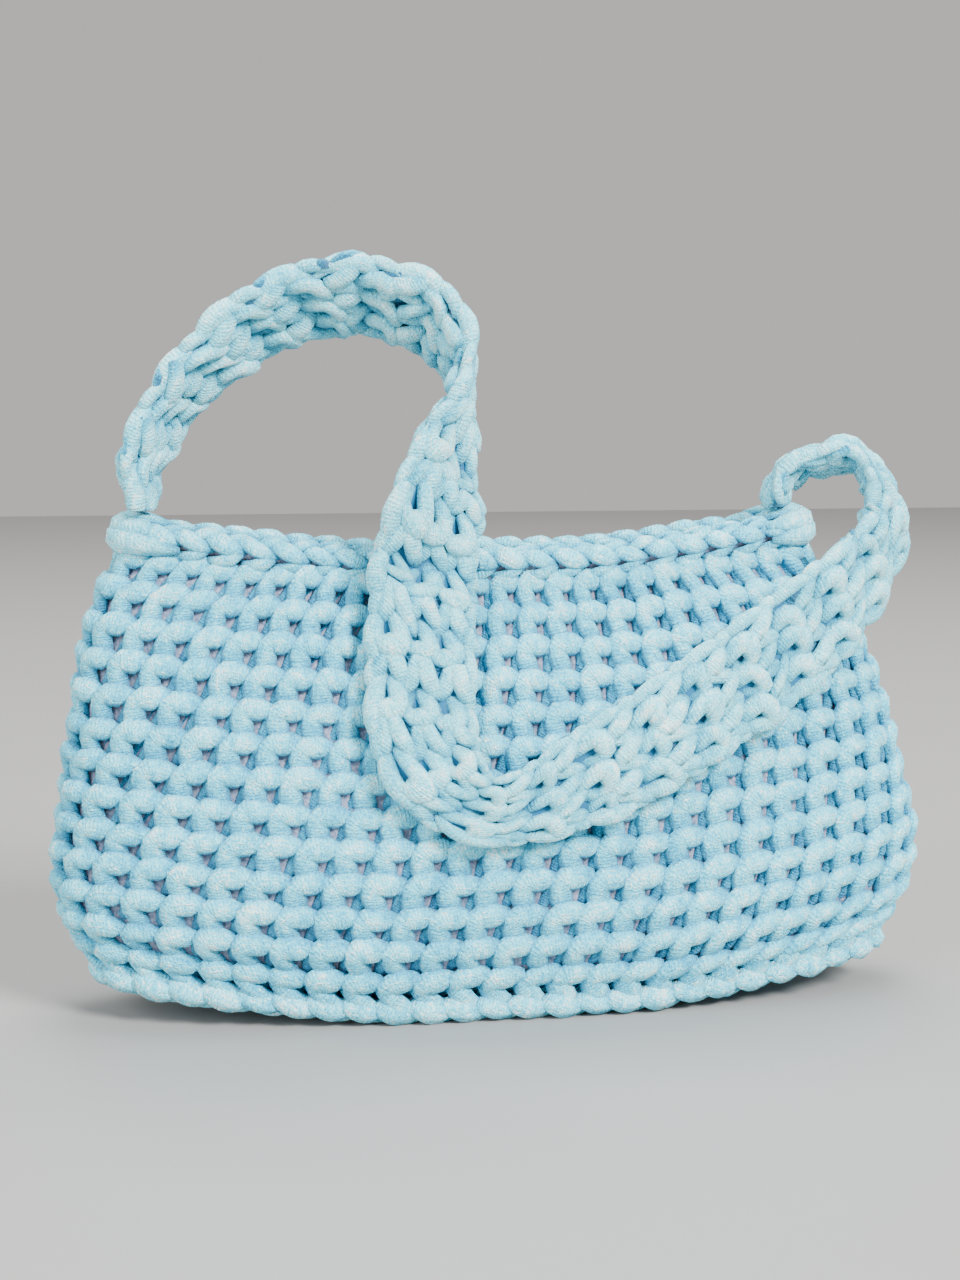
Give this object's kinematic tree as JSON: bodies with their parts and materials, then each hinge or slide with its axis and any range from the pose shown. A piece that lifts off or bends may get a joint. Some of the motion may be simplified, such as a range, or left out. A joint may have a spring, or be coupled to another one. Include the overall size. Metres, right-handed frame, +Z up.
{
  "type": "crocheted t-shirt yarn shoulder bag",
  "caption": "Small baguette-shaped shoulder bag crocheted in thick pale blue t-shirt yarn, with an open mouth and one band strap draped over its front.",
  "frame": {"origin": "middle of the base's flat underside, on the surface that the bag stands on", "axes": "+X is the bag's width towards the viewer's right, the front with the draped strap faces -Y, +Z is up"},
  "size_m": [0.3, 0.0966, 0.2506],
  "materials": {
    "bag_yarn": "matte ribbed jersey yarn",
    "strap_yarn": "matte ribbed jersey yarn, a little paler"
  },
  "bodies": {
    "root": {"base": "bag_yarn", "base_ridge": "bag_yarn", "body_wall": "bag_yarn", "rim_chain": "bag_yarn", "strap_band": "strap_yarn", "strap_edge_front": "strap_yarn", "strap_edge_rear": "strap_yarn", "strap_foot_left": "strap_yarn", "strap_foot_right": "strap_yarn"}
  },
  "joints": []
}
